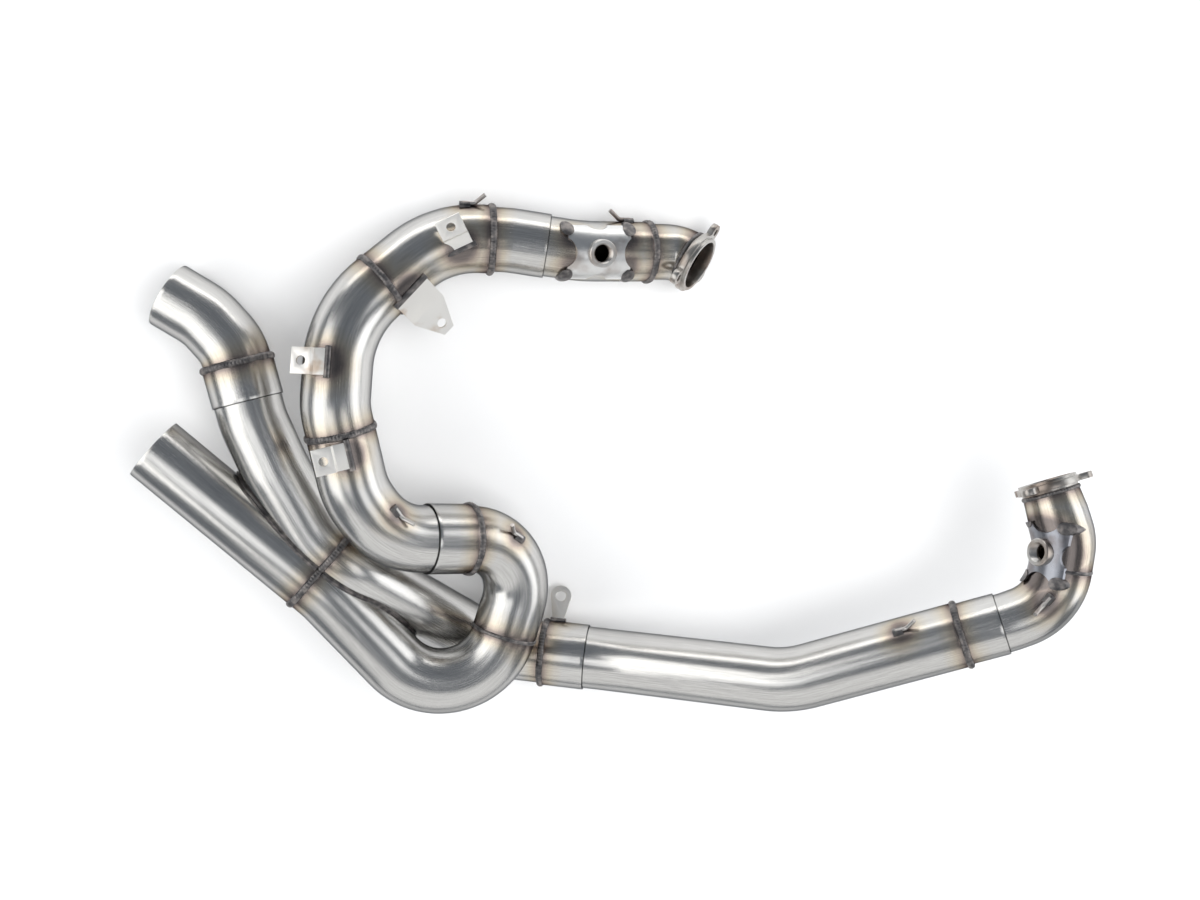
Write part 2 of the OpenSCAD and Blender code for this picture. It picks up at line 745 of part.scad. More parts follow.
// A tab bent from plate, seen from the end of the tube: the leg, the step and the pad
module tab(a, b, place, od) {
    t = tab_plate;
    s = tab_step;
    l = tab_leg;
    e = tab_leg + 2 + tab_pad;
    difference() {
        along(a, b, place[0], place[1]) translate([od / 2 - 0.4, 0, 0]) rotate([place[2], 0, 0])
            difference() {
                translate([0, 0, -tab_width / 2]) linear_extrude(tab_width)
                    polygon([[0, 0], [t, 0], [t, l], [t + s, l + 2], [t + s, e], [s, e], [s, l + 2.5],
                        [0, l + 0.5]]);
                translate([-1, l + 2 + tab_pad / 2, 0]) rotate([0, 90, 0]) cylinder(d = tab_hole, h = 20);
            }
        children();
    }
}

module tab_weld(a, b, place, od) {
    difference() {
        along(a, b, place[0], place[1]) translate([od / 2 - 0.4, 0, 0]) rotate([place[2], 0, 0])
            difference() {
                translate([0.6, -1.4, -tab_width * 0.6]) cylinder(d = tab_bead, h = tab_width * 1.2);
                translate([0, 0, -tab_width / 2]) cube([tab_plate, tab_bead, tab_width]);
            }
        children();
    }
}

module upper_tab() {
    color([0.85, 0.84, 0.82]) tab(rear_5, rear_6, tab_a, od_4)
        rod(path_down_bend, [rear_radii_b[0], rear_radii_b[1]], od_4);
}

module upper_tab_weld() {
    color([0.3, 0.29, 0.29]) tab_weld(rear_5, rear_6, tab_a, od_4)
        rod(path_down_bend, [rear_radii_b[0], rear_radii_b[1]], od_4);
}

module lower_tab() {
    color([0.85, 0.84, 0.82]) tab(rear_6, rear_7, tab_b, od_4)
        rod(path_elbow, [rear_radii_b[2], rear_radii_b[3]], od_4);
}

module lower_tab_weld() {
    color([0.3, 0.29, 0.29]) tab_weld(rear_6, rear_7, tab_b, od_4)
        rod(path_elbow, [rear_radii_b[2], rear_radii_b[3]], od_4);
}

module turned_tab() {
    color([0.85, 0.84, 0.82]) tab(rear_3, rear_4, tab_c, od_4) rod(path_upper_bend, [rear_radii_a[3]], od_4);
}

module turned_tab_weld() {
    color([0.3, 0.29, 0.29]) tab_weld(rear_3, rear_4, tab_c, od_4)
        rod(path_upper_bend, [rear_radii_a[3]], od_4);
}

module bracket_wall_part() {
    t = tab_plate;
    translate([0, -bracket_wall, -bracket_width / 2]) cube([t, bracket_wall, bracket_width]);
}

module bracket_shape() {
    t = tab_plate;
    w = bracket_width / 2;
    bracket_wall_part();
    translate([0, -bracket_wall, 0]) rotate([0, 0, bracket_fold]) difference() {
        rotate([0, 90, 0]) linear_extrude(t)
            polygon([[w, 0], [w, -3], [bracket_tip / 2, -bracket_face], [-bracket_tip / 2, -bracket_face],
                [-w, -3], [-w, 0]]);
        translate([-5, -bracket_hole_at, 0]) rotate([0, 90, 0]) cylinder(d = bracket_hole, h = 20);
    }
}

module bracket() {
    color([0.85, 0.84, 0.82]) difference() {
        along(rear_4, rear_5, bracket_place[0], bracket_place[1]) translate([od_4 / 2 - 0.6, 0, 0])
            rotate([bracket_place[2], 0, 0]) bracket_shape();
        along(at_hook_weld, rear_5) butt_weld(od_4, butt_bead, butt_rise);
        rod(path_upper_bend, [rear_radii_a[3]], od_4);
        rod(path_down_bend, [rear_radii_b[0], rear_radii_b[1]], od_4);
    }
}

module bracket_weld() {
    color([0.3, 0.29, 0.29]) difference() {
        along(rear_4, rear_5, bracket_place[0], bracket_place[1]) translate([od_4 / 2 - 0.6, 0, 0])
            rotate([bracket_place[2], 0, 0]) difference() {
                translate([0.8, 1.2, -bracket_width * 0.53]) cylinder(d = tab_bead, h = bracket_width * 1.06);
                bracket_wall_part();
            }
        along(at_hook_weld, rear_5) butt_weld(od_4, butt_bead, butt_rise);
        rod(path_upper_bend, [rear_radii_a[3]], od_4);
        rod(path_down_bend, [rear_radii_b[0], rear_radii_b[1]], od_4);
    }
}

// A flat lug with a round head, standing on the sleeve along its length
module ring_lug() {
    h = od_5 / 2 + lug_rise;
    foot = lug_foot / 2;
    color([0.7, 0.69, 0.67]) difference() {
        along(front_7, front_8, lug_at, lug_roll) rotate([90, 0, 0]) difference() {
            translate([0, 0, -lug_plate / 2]) linear_extrude(lug_plate) union() {
                translate([h, 0]) circle(r = lug_head);
                polygon([[od_5 / 2 - 3, -foot], [h, -lug_head + 0.2], [h, lug_head - 0.2], [od_5 / 2 - 3, foot]]);
            }
            translate([h, 0, -lug_plate]) cylinder(d = lug_hole, h = 2 * lug_plate);
        }
        rod([at_front_lap, at_front_slip], [], od_5, 1);
    }
}

module ring_lug_weld() {
    color([0.3, 0.29, 0.29]) difference() {
        along(front_7, front_8, lug_at, lug_roll) translate([od_5 / 2 - 1.5, 0, 0]) difference() {
            translate([0, 0, -lug_foot * 0.8]) cylinder(d = 10, h = lug_foot * 1.6);
            translate([-10, -lug_plate / 2, -lug_foot / 2 - 1]) cube([40, lug_plate, lug_foot + 2]);
        }
        rod([at_front_lap, at_front_slip], [], od_5, 1);
    }
}

// A spring hook bent from round wire: a foot on the tube and a lifted end
module hook(a, b, place, od) {
    x = od / 2 + hook_wire / 2 - 0.2;
    s = place[2];
    difference() {
        along(a, b, place[0], place[1])
            rod([[x, 0, -s * hook_foot / 2], [x, 0, s * hook_foot / 2],
                [x + hook_prong * sin(hook_lift), 0, s * (hook_foot / 2 + hook_prong * cos(hook_lift))]],
                [hook_bend], hook_wire);
        children();
    }
}

module foot_weld(a, b, place, od) {
    s = place[2];
    difference() {
        along(a, b, place[0], place[1])
            translate([od / 2 - 1, 0, -s * hook_foot * 0.3 - hook_blob]) cylinder(d = foot_bead, h = 2 * hook_blob);
        hook(a, b, place, od) cube(0.01);
        children();
    }
}

module spring_hook_a() {
    color([0.6, 0.59, 0.57]) hook(rear_3, rear_4, hook_a, od_4) rod(path_upper_bend, [rear_radii_a[3]], od_4);
}

module spring_hook_b() {
    color([0.6, 0.59, 0.57]) hook(rear_1, rear_2, hook_b, od_2) rod(path_rear_seat, [rear_radii_a[1]], od_2);
}

module spring_hook_c() {
    color([0.6, 0.59, 0.57]) hook(rear_7, rear_8, hook_c, od_4)
        rod(path_elbow, [rear_radii_b[2], rear_radii_b[3]], od_4);
}

module spring_hook_d() {
    color([0.6, 0.59, 0.57]) hook(hook_d_seat[0], hook_d_seat[0] + hook_d_seat[1], [0, hook_d[1], hook_d[2]],
        od_4) rod(path_upper_loop, [rear_radii_c[0]], od_4);
}

module spring_hook_e() {
    color([0.6, 0.59, 0.57]) hook(front_9, front_10, hook_e, od_4)
        rod(path_long, [front_radii_c[0], front_radii_c[1]], od_4);
}

module spring_hook_f() {
    color([0.6, 0.59, 0.57])
        hook(hook_f_seat[0], hook_f_seat[0] + hook_f_seat[1], [0, hook_f[1], hook_f[2]], od_2)
        rod(path_front_bend, [front_radii_c[2], front_radii_c[3]], od_2);
}

module hook_foot_welds() {
    color([0.3, 0.29, 0.29]) {
        foot_weld(rear_3, rear_4, hook_a, od_4) rod(path_upper_bend, [rear_radii_a[3]], od_4);
        foot_weld(rear_1, rear_2, hook_b, od_2) rod(path_rear_seat, [rear_radii_a[1]], od_2);
        foot_weld(rear_7, rear_8, hook_c, od_4) rod(path_elbow, [rear_radii_b[2], rear_radii_b[3]], od_4);
        foot_weld(hook_d_seat[0], hook_d_seat[0] + hook_d_seat[1], [0, hook_d[1], hook_d[2]], od_4)
            rod(path_upper_loop, [rear_radii_c[0]], od_4);
        foot_weld(front_9, front_10, hook_e, od_4) rod(path_long, [front_radii_c[0], front_radii_c[1]], od_4);
        foot_weld(hook_f_seat[0], hook_f_seat[0] + hook_f_seat[1], [0, hook_f[1], hook_f[2]], od_2)
            rod(path_front_bend, [front_radii_c[2], front_radii_c[3]], od_2);
    }
}

rear_flange();
rear_flange_weld();
rear_port_bend();
port_joint_weld();
rear_sensor_tube();
rear_sensor_saddle();
rear_saddle_welds();
rear_sensor_boss();
rear_upper_sleeve();
upper_sleeve_weld();
rear_upper_bend();
hook_weld();
rear_down_bend();
elbow_weld();
rear_lower_elbow();
rear_lower_sleeve();
lower_sleeve_weld();
loop_upper_bend();
loop_weld();
loop_lower_bend();
outlet_lower();
merge_ring();
inlet_seam();
outlet_seam();
outlet_upper_tube();
outlet_sleeve();
outlet_sleeve_weld();
outlet_upper_tip();
front_inlet();
front_sleeve_weld();
front_sleeve();
front_long_tube();
second_sleeve_weld();
front_second_sleeve();
front_lower_bend();
front_bend_weld();
front_port_bend();
front_sensor_saddle();
front_saddle_welds();
front_sensor_boss();
front_flange_weld();
front_flange();
upper_tab();
upper_tab_weld();
lower_tab();
lower_tab_weld();
turned_tab();
turned_tab_weld();
bracket();
bracket_weld();
ring_lug();
ring_lug_weld();
spring_hook_a();
spring_hook_b();
spring_hook_c();
spring_hook_d();
spring_hook_e();
spring_hook_f();
hook_foot_welds();
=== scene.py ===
# %% [markdown]
# # A motorcycle exhaust header on a bench
# The real thing is thin stainless tube, bent and welded, with plate fixings and turned port flanges. Its
# looks come from three things: light that runs along each tube, heat colour beside every weld, and dark
# rippled beads. The lesson makes the tubes as swept pipes that know where they were before they were bent.

# %% Load the frame
import math

import bmesh
import bpy
from mathutils import Matrix, Vector


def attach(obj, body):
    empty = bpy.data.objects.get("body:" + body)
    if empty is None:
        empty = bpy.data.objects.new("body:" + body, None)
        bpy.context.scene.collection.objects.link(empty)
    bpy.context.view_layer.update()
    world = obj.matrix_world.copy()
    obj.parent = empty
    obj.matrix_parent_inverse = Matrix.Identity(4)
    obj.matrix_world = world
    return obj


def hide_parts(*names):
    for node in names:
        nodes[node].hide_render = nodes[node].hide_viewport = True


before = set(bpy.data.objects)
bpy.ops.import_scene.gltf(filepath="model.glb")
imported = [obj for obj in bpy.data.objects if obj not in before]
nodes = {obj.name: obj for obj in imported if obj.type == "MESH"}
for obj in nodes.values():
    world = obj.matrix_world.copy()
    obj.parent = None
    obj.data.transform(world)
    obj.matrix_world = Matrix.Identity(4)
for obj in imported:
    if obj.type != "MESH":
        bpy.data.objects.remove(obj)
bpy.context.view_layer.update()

MM = 0.001

# %% [markdown]
# # The camera and the picture
# The photograph looks down on the header from a little over a metre, slightly from the back. A 42 mm lens
# on a 36 mm sensor gives the same perspective. The three directions are the camera's own axes, so its matrix
# is built from them and needs no aiming. The Standard view keeps whites white, as a studio picture does.

# %% Place the camera
eye = Vector((-144.3, 451.5, 1347.8)) * MM
camera_right = Vector((0.99442, 0.0, 0.1055))
camera_up = Vector((0.03428, 0.94575, -0.32308))
camera_back = Vector((-0.09978, 0.32489, 0.94047))
lens = bpy.data.cameras.new("bench_camera")
lens.lens = 42
lens.sensor_width = 36
camera = bpy.data.objects.new("bench_camera", lens)
axes = Matrix((camera_right, camera_up, camera_back)).transposed()
camera.matrix_world = Matrix.Translation(eye) @ axes.to_4x4()
scene = bpy.context.scene
scene.collection.objects.link(camera)
scene.camera = camera
scene.view_settings.view_transform = "Standard"
print("camera at", [round(value, 3) for value in eye])

# %% [markdown]
# # Light
# Polished tube shows its surroundings. In the photograph a dark ceiling runs down the middle of each tube,
# between bright bands from panels at the sides. So four large soft panels stand round the bench, two small ones
# hang beside the camera, and the world gives a weak blue grey. One more panel overhead whitens the bench, and
# is hidden from reflections so that the ceiling stays dark in the tubes.

# %% Hang the panels
def hang_panel(name, place, width, height, radiance, tint=(1, 1, 1)):
    """A soft panel at a place, facing the middle of the bench, whose face looks as bright as radiance."""
    data = bpy.data.lights.new(name, "AREA")
    data.shape = "RECTANGLE"
    data.size, data.size_y = width, height
    data.energy = radiance * math.pi * width * height
    data.color = tint
    panel = bpy.data.objects.new(name, data)
    aim = (Vector((0, 0, 0.05)) - Vector(place)).to_track_quat("-Z", "Y")
    panel.matrix_world = Matrix.Translation(place) @ aim.to_matrix().to_4x4()
    scene.collection.objects.link(panel)
    return panel


hang_panel("left_panel", (-1.6, 0.35, 1.25), 2.3, 1.4, 1.75, (1, 0.99, 0.97))
hang_panel("right_panel", (1.9, 0.2, 0.8), 2.4, 1.2, 1.7)
hang_panel("front_panel", (0.0, -1.55, 1.3), 3.4, 2.4, 0.75, (1, 0.985, 0.96))
hang_panel("back_panel", (0.0, 2.1, 0.16), 3.4, 0.32, 3.0, (1, 0.985, 0.96))
for side in (-1, 1):
    near = hang_panel("near_panel", (-0.05 + side * 0.58, 0.1, 1.42), 0.62, 0.6, 1.25)
    near.matrix_world = Matrix.Translation(near.location)
ceiling = hang_panel("ceiling_panel", (0.5, 0.6, 2.4), 1.6, 1.6, 5.0)
ceiling.visible_glossy = False
world = bpy.data.worlds.new("studio")
world.use_nodes = True
world.node_tree.nodes["Background"].inputs["Color"].default_value = (0.80, 0.88, 1.0, 1)
world.node_tree.nodes["Background"].inputs["Strength"].default_value = 0.20
scene.world = world
print("panels hung round and above the bench")

# %% [markdown]
# # Writing a finish as arithmetic
# A finish is a small sum: how far from the weld, how rough the brushing, how dark the tint. Linking nodes by
# hand hides that sum. Here one class wraps a socket, so plus and times add Math nodes by themselves, and one
# method makes every other node from its type, its settings and its inputs.

# %% A socket that can be calculated with
class Signal:
    """A value on its way through a finish. Arithmetic on it adds Math nodes."""

    def __init__(self, finish, socket):
        self.finish, self.socket = finish, socket

    def math(self, operation, first, second=0.0):
        return self.finish.node("ShaderNodeMath", {"operation": operation}, {0: first, 1: second})

    def __add__(self, other): return self.math("ADD", self, other)
    def __radd__(self, other): return self.math("ADD", other, self)
    def __sub__(self, other): return self.math("SUBTRACT", self, other)
    def __rsub__(self, other): return self.math("SUBTRACT", other, self)
    def __mul__(self, other): return self.math("MULTIPLY", self, other)
    def __rmul__(self, other): return self.math("MULTIPLY", other, self)
    def __truediv__(self, other): return self.math("DIVIDE", self, other)
    def __abs__(self): return self.math("ABSOLUTE", self)

    def lower(self, other):
        """The smaller of the two values."""
        return self.math("MINIMUM", self, other)


class Finish:
    """A material with a Principled shader, and the helpers that feed it."""

    def __init__(self, name):
        self.material = bpy.data.materials.new(name)
        self.material.use_nodes = True
        self.tree = self.material.node_tree
        self.shader = self.tree.nodes["Principled BSDF"]

    def node(self, kind, settings=None, values=None, out=0):
        """Makes a node, sets it up, feeds its inputs and returns one of its outputs."""
        made = self.tree.nodes.new(kind)
        for name, value in (settings or {}).items():
            if name == "stops":
                self.set_stops(made.color_ramp, value)
            else:
                setattr(made, name, value)
        for key, value in (values or {}).items():
            self.feed(made.inputs[key], value)
        return Signal(self, made.outputs[out])

    def set_stops(self, ramp, stops):
        while len(ramp.elements) < len(stops):
            ramp.elements.new(1.0)
        for element, (place, colour) in zip(ramp.elements, stops):
            element.position = place
            element.color = (*colour, 1)

    def feed(self, socket, value):
        if isinstance(value, Signal):
            self.tree.links.new(value.socket, socket)
        else:
            socket.default_value = value

    def set(self, **values):
        """Feeds the shader's own sockets, with underscores for spaces."""
        for name, value in values.items():
            self.feed(self.shader.inputs[name.replace("_", " ")], value)

    def noise(self, place, scale, detail=2.0, roughness=0.5):
        return self.node("ShaderNodeTexNoise", None,
                         {"Vector": place, "Scale": scale, "Detail": detail, "Roughness": roughness})

    def stretched(self, place, scale):
        return self.node("ShaderNodeMapping", None, {"Vector": place, "Scale": scale})

    def faded(self, value, low, high, from_value=0.0, to_value=1.0):
        """Moves value's range low to high onto another range, with soft ends."""
        return self.node("ShaderNodeMapRange", {"interpolation_type": "SMOOTHSTEP"},
                         {"Value": value, "From Min": low, "From Max": high, "To Min": from_value,
                          "To Max": to_value})

    def ramp(self, value, stops):
        return self.node("ShaderNodeValToRGB", {"stops": stops}, {0: value})

    def blend(self, factor, first, second, how="MIX"):
        return self.node("ShaderNodeMix", {"data_type": "RGBA", "blend_type": how},
                         {0: factor, 6: first, 7: second}, out=2)

    def bump(self, height, strength, distance):
        return self.node("ShaderNodeBump", None,
                         {"Height": height, "Strength": strength, "Distance": distance})

    def object_place(self):
        return self.node("ShaderNodeTexCoord", out="Object")


print("finish kit ready")

# %% [markdown]
# # The header's corners
# The headers are drawn as corner points joined by straights and rounded by bends, in millimetres, the way a
# bender reads a tube plan. The joints lie at measured distances from the corners. Each tube size slides into
# the next, so one port size and one step give all five diameters.

# %% Sizes and corners
WALL = 1.5
SLIP_GAP = 0.5
PORT_OD = 53
STEP = 2 * WALL + SLIP_GAP
OD_1, OD_2, OD_3, OD_4, OD_5 = (PORT_OD + STEP * count for count in range(5))
LAP_DEPTH = 8
SLIP_DEPTH = 22

REAR = [Vector(corner) for corner in (
    (90.7, 183.2, 39.3), (70.7, 193.7, 25.8), (-25.3, 200.7, 48.3), (-92.3, 211.7, 43.3),
    (-154.8, 216.2, 46.8), (-247.3, 151.7, 84.8), (-255.3, 75.7, 117.8), (-240.8, -3.3, 128.8),
    (-212.3, -49.3, 130.3), (-74.8, -77.8, 75.3), (-143.8, -267.8, 128.8), (-275.8, -113.3, 100.8),
    (-429.8, 25.7, 67.8))]
OUTLET = [Vector(corner) for corner in (
    (-408.8, 164.2, 31.8), (-375.3, 144.2, 40.3), (-351.8, 117.2, 48.3), (-335.8, 49.7, 67.3),
    (-317.3, 3.7, 77.3))]
FRONT = [Vector(corner) for corner in (
    (-119.8, -216.3, 27.8), (5.2, -225.3, 55.8), (172.2, -216.8, 134.8), (371.7, -139.3, 182.3),
    (414.2, -120.8, 188.3), (424.2, -59.3, 173.8), (411.7, -13.3, 151.8))]


def toward(start, end, distance):
    """The point at a distance from start on the way to end."""
    return start + (end - start).normalized() * distance


def side_of(way, roll):
    """The direction square to way at an angle round it. Zero leans down, and a quarter turn lies level."""
    way = way.normalized()
    level = Vector((-way.y, way.x, 0)).normalized()
    lean = level.cross(way)
    angle = math.radians(roll)
    return lean * math.cos(angle) + level * math.sin(angle)


MERGE_AT = 19
MERGE_SPREAD = 31.8
MERGE_ROLL = -78.6
merge_way = (REAR[12] - REAR[11]).normalized()
merge_mid = REAR[11] + merge_way * MERGE_AT
merge_top = merge_mid + side_of(merge_way, MERGE_ROLL) * MERGE_SPREAD
after_merge = merge_top + merge_way * 20
before_merge = merge_top - merge_way * 22
print("merge ring centres", [round(value) for value in merge_mid], [round(value) for value in merge_top])

# %% [markdown]
# # Tubes that remember being straight
# A tube could be a curve with a round bevel, but then brushing and heat colour have nothing to follow. Here a
# circle is carried along the route: pushed over the straights, and turned about the bend's centre in the
# bends. Every vertex keeps its place in the unbent tube, so a finish can run lengthwise round any corner.

# %% Carry a ring along a route
AROUND = 72
RING_GAP = 4.0
LARGEST_TURN = 0.06
straight_name = "straight"
heat_name = "from_welds"


def pipe_mesh():
    """An empty mesh with both values that a tube keeps. Layers come first, as a new one drops old handles."""
    bm = bmesh.new()
    bm.verts.layers.float_vector.new(straight_name)
    bm.verts.layers.float_vector.new(heat_name)
    return bm


def links_between(verts):
    """The edges that join two of these vertices."""
    inside = set(verts)
    return [edge for edge in {edge for vert in verts for edge in vert.link_edges}
            if edge.verts[0] in inside and edge.verts[1] in inside]


def carry(bm, ring, matrix, run):
    """Extrudes a ring, moves the new one by matrix and notes how far along the tube it is."""
    made = bmesh.ops.extrude_edge_only(bm, edges=links_between(ring))["geom"]
    fresh = [item for item in made if isinstance(item, bmesh.types.BMVert)]
    bmesh.ops.transform(bm, matrix=matrix, verts=fresh)
    layer = bm.verts.layers.float_vector[straight_name]
    for vert in fresh:
        vert[layer] = Vector((vert[layer].x, vert[layer].y, run))
    return fresh


def rounded(before, corner, after, radius):
    """A corner's bend: its angle, the straight that it takes from each side, its axis and its centre."""
    way_in, way_out = (corner - before).normalized(), (after - corner).normalized()
    angle = way_in.angle(way_out)
    taken = radius * math.tan(angle / 2)
    axis = way_in.cross(way_out).normalized()
    return angle, taken, axis, corner - way_in * taken + axis.cross(way_in) * radius


def lay_pipe(bm, corners, radii, radius, grow=0.0, shift=0.0):
    """Carries a circle through the corners. grow runs both ends on, and shift starts the count there."""
    layer = bm.verts.layers.float_vector[straight_name]
    way = (corners[1] - corners[0]).normalized()
    place, run = corners[0] - way * grow, shift - grow
    turned = way.to_track_quat("Z", "Y").to_matrix()
    ring = bmesh.ops.create_circle(bm, segments=AROUND, radius=radius,
                                   matrix=Matrix.Translation(place) @ turned.to_4x4())["verts"]
    for vert in ring:
        flat = turned.transposed() @ (vert.co - place)
        vert[layer] = Vector((flat.x, flat.y, run))
    first = list(ring)
    for index in range(1, len(corners)):
        last = index == len(corners) - 1
        length = (corners[index] - place).length
        if last:
            length += grow
        else:
            angle, taken, axis, centre = rounded(corners[index - 1], corners[index], corners[index + 1],
                                                 radii[index - 1])
            length -= taken
        count = max(1, round(length / RING_GAP))
        for _ in range(count):
            run += length / count
            ring = carry(bm, ring, Matrix.Translation(way * length / count), run)
        place = place + way * length
        if not last:
            count = max(3, round(radii[index - 1] * angle / RING_GAP), round(angle / LARGEST_TURN))
            swing = (Matrix.Translation(centre) @ Matrix.Rotation(angle / count, 4, axis)
                     @ Matrix.Translation(-centre))
            for _ in range(count):
                run += radii[index - 1] * angle / count
                ring = carry(bm, ring, swing, run)
            way = (corners[index + 1] - corners[index]).normalized()
            place = corners[index] + way * taken
    return first, ring, run


print("rings of", AROUND, "points, about", RING_GAP, "mm apart")

# %% [markdown]
# # From a mesh to a piece
# Each piece ends the same way: millimetres become metres in the mesh itself, sharp edges are marked, the
# object stays at the origin and is hung under the root, and the node that it stands for is hidden.

# %% Finish and cut pieces
pieces = {}


def make_piece(bm, name, finish, slot, *replaced, sharp=32):
    """Turns a bmesh in millimetres into a finished piece."""
    bmesh.ops.scale(bm, vec=(MM, MM, MM), verts=bm.verts)
    for face in bm.faces:
        face.smooth = True
    for edge in bm.edges:
        edge.smooth = len(edge.link_faces) == 2 and edge.calc_face_angle(0) < math.radians(sharp)
    mesh = bpy.data.meshes.new(name)
    bm.to_mesh(mesh)
    bm.free()
    piece = bpy.data.objects.new(name, mesh)
    scene.collection.objects.link(piece)
    if finish:
        mesh.materials.append(finish.material)
        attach(piece, "root")
        if replaced:
            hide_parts(*replaced)
        pieces[name] = piece
    return piece


def cut(piece, *cutters):
    """Takes the cutters out of a piece for good, and removes them."""
    for cutter in cutters:
        step = piece.modifiers.new("cut", "BOOLEAN")
        step.operation = "DIFFERENCE"
        step.solver = "EXACT"
        step.object = cutter
    bpy.context.view_layer.update()
    done = bpy.data.meshes.new_from_object(piece.evaluated_get(bpy.context.evaluated_depsgraph_get()))
    piece.modifiers.clear()
    piece.data = done
    done.name = piece.name
    for cutter in cutters:
        bpy.data.objects.remove(cutter)


def rod(corners, radii, diameter, grow=1.0):
    """A solid bent rod, as a cutter."""
    bm = pipe_mesh()
    first, last, _ = lay_pipe(bm, corners, radii, diameter / 2, grow)
    for ring in (first, last):
        bmesh.ops.edgeloop_fill(bm, edges=links_between(ring))
    bmesh.ops.recalc_face_normals(bm, faces=bm.faces)
    return make_piece(bm, "cutter", None, None)


def drill(start, way, radius, length):
    """A straight round cutter."""
    bm = bmesh.new()
    turned = way.to_track_quat("Z", "Y").to_matrix().to_4x4()
    bmesh.ops.create_cone(bm, cap_ends=True, segments=48, radius1=radius, radius2=radius, depth=length,
                          matrix=Matrix.Translation(start + way.normalized() * length / 2) @ turned)
    return make_piece(bm, "cutter", None, None)


print("pieces can be made and cut")

# %% [markdown]
# # Brushed tube with heat colour
# Stainless tube is brushed along its length, so noise is stretched along the unbent tube. Heat colour is a
# matter of distance: grey brown at the bead, then straw, and bare steel about two and a half centimetres away.
# Beads round the tube count by the distance kept in the mesh, and brackets, bosses and hooks by a point each.
# A painted shadow line darkens the place where one tube slides into the next, standing in for the shade in that
# crevice.

# %% Places that were heated
REAR_BOSS_AT, REAR_BOSS_ROLL = 88, -172
FRONT_BOSS_AT, FRONT_BOSS_ROLL = 50, 111.5


def beside(start, end, distance, roll, out, across=0.0, way_on=0.0):
    """A point beside a tube: a distance along it, turned round it, and out from its middle line."""
    way = (end - start).normalized()
    return (toward(start, end, distance + way_on) + side_of(way, roll) * out
            + side_of(way, roll + 90) * across)


def bend_place(before, corner, after, radius, degrees):
    """A point at an angle along a bend, and the way of the tube there."""
    _, taken, axis, centre = rounded(before, corner, after, radius)
    way = (corner - before).normalized()
    swing = Matrix.Rotation(math.radians(degrees), 3, axis)
    return centre + swing @ (corner - way * taken - centre), swing @ way


loop_hook_place, loop_hook_way = bend_place(REAR[8], REAR[9], REAR[10], 54, 29.5)
front_hook_place, front_hook_way = bend_place(FRONT[3], FRONT[4], FRONT[5], 58, 28)
heated = [
    (beside(REAR[1], REAR[2], REAR_BOSS_AT, REAR_BOSS_ROLL, 28, across, way_on), 8)
    for way_on in (26, -26) for across in (16, -16)]
heated += [
    (beside(FRONT[4], FRONT[5], FRONT_BOSS_AT, FRONT_BOSS_ROLL, 30, 0, 0), 32),
    (beside(REAR[5], REAR[6], 46, -164, 32), 11),
    (beside(REAR[6], REAR[7], 39.5, 170, 32), 11),
    (beside(REAR[3], REAR[4], 46, 175, 32), 11),
    (beside(REAR[4], REAR[5], 58.5, 146, 32), 12),
    (beside(REAR[3], REAR[4], 39, -97, 32), 5),
    (beside(REAR[1], REAR[2], 56, -86, 28), 5),
    (beside(REAR[7], REAR[8], 33, 127, 32), 5),
    (loop_hook_place + side_of(loop_hook_way, 125) * 32, 5),
    (beside(FRONT[2], FRONT[3], 122, 114, 32), 6),
    (front_hook_place + side_of(front_hook_way, 148) * 28, 7),
    (beside(FRONT[0], FRONT[1], 68, 63, 33), 7),
]
print(len(heated), "heated places")

# %% The tube finish
tube_finish = Finish("brushed_tube")
unbent = tube_finish.node("ShaderNodeAttribute", {"attribute_name": straight_name}, out="Vector")
welds = tube_finish.node("ShaderNodeAttribute", {"attribute_name": heat_name}, out="Vector")
here = tube_finish.object_place()
FAR = 999.0
first_weld, last_weld, slip_shadow_distance = (
    abs(tube_finish.node("ShaderNodeSeparateXYZ", None, {0: welds}, out=axis)) for axis in range(3))
distance = first_weld.lower(last_weld)
for spot, size in heated:
    away = tube_finish.node("ShaderNodeVectorMath", {"operation": "DISTANCE"},
                            {0: here, 1: spot * MM}, out="Value")
    distance = distance.lower(away * 1000 - size)
cloud = tube_finish.noise(here, 55.0, 3.0)
patches = tube_finish.noise(here, 14.0, 2.0)
tint_place = (distance + cloud * 7.0 - 4.0) / (0.45 + patches * 1.0) / 26.0
BARE = (0.665, 0.655, 0.635)
tint = tube_finish.ramp(tint_place, [
    (0.0, (0.20, 0.175, 0.165)), (0.12, (0.31, 0.26, 0.235)), (0.24, (0.49, 0.42, 0.355)),
    (0.40, (0.62, 0.56, 0.465)), (0.62, (0.66, 0.625, 0.565)), (0.95, BARE)])
brushing = tube_finish.noise(tube_finish.stretched(unbent, (1.1, 1.1, 0.03)), 1.0, 5.0, 0.7)
fine = tube_finish.noise(tube_finish.stretched(unbent, (5.0, 5.0, 0.5)), 1.0, 3.0, 0.7)
smudge = tube_finish.noise(here, 9.0, 3.0)
# Brushing grain, times painted shade: a dark line at each slip joint that stands in for the shadow in its
# crevice.
shade = (tube_finish.faded(brushing * 0.7 + fine * 0.3, 0.3, 0.7, 0.78, 1.10)
         * tube_finish.faded(slip_shadow_distance, 0.1, 0.9, 0.22, 1.0))
tube_finish.set(
    Base_Color=tube_finish.blend(1.0, tint, tube_finish.node("ShaderNodeCombineColor", None,
                                                            {0: shade, 1: shade, 2: shade}), "MULTIPLY"),
    Metallic=1.0,
    Specular_Tint=(0.16, 0.17, 0.19, 1),
    Roughness=0.10 + brushing * 0.16 + smudge * 0.12,
    Normal=tube_finish.bump(fine * 0.6 + brushing, 0.30, 0.00010))
print("tube finish ready")

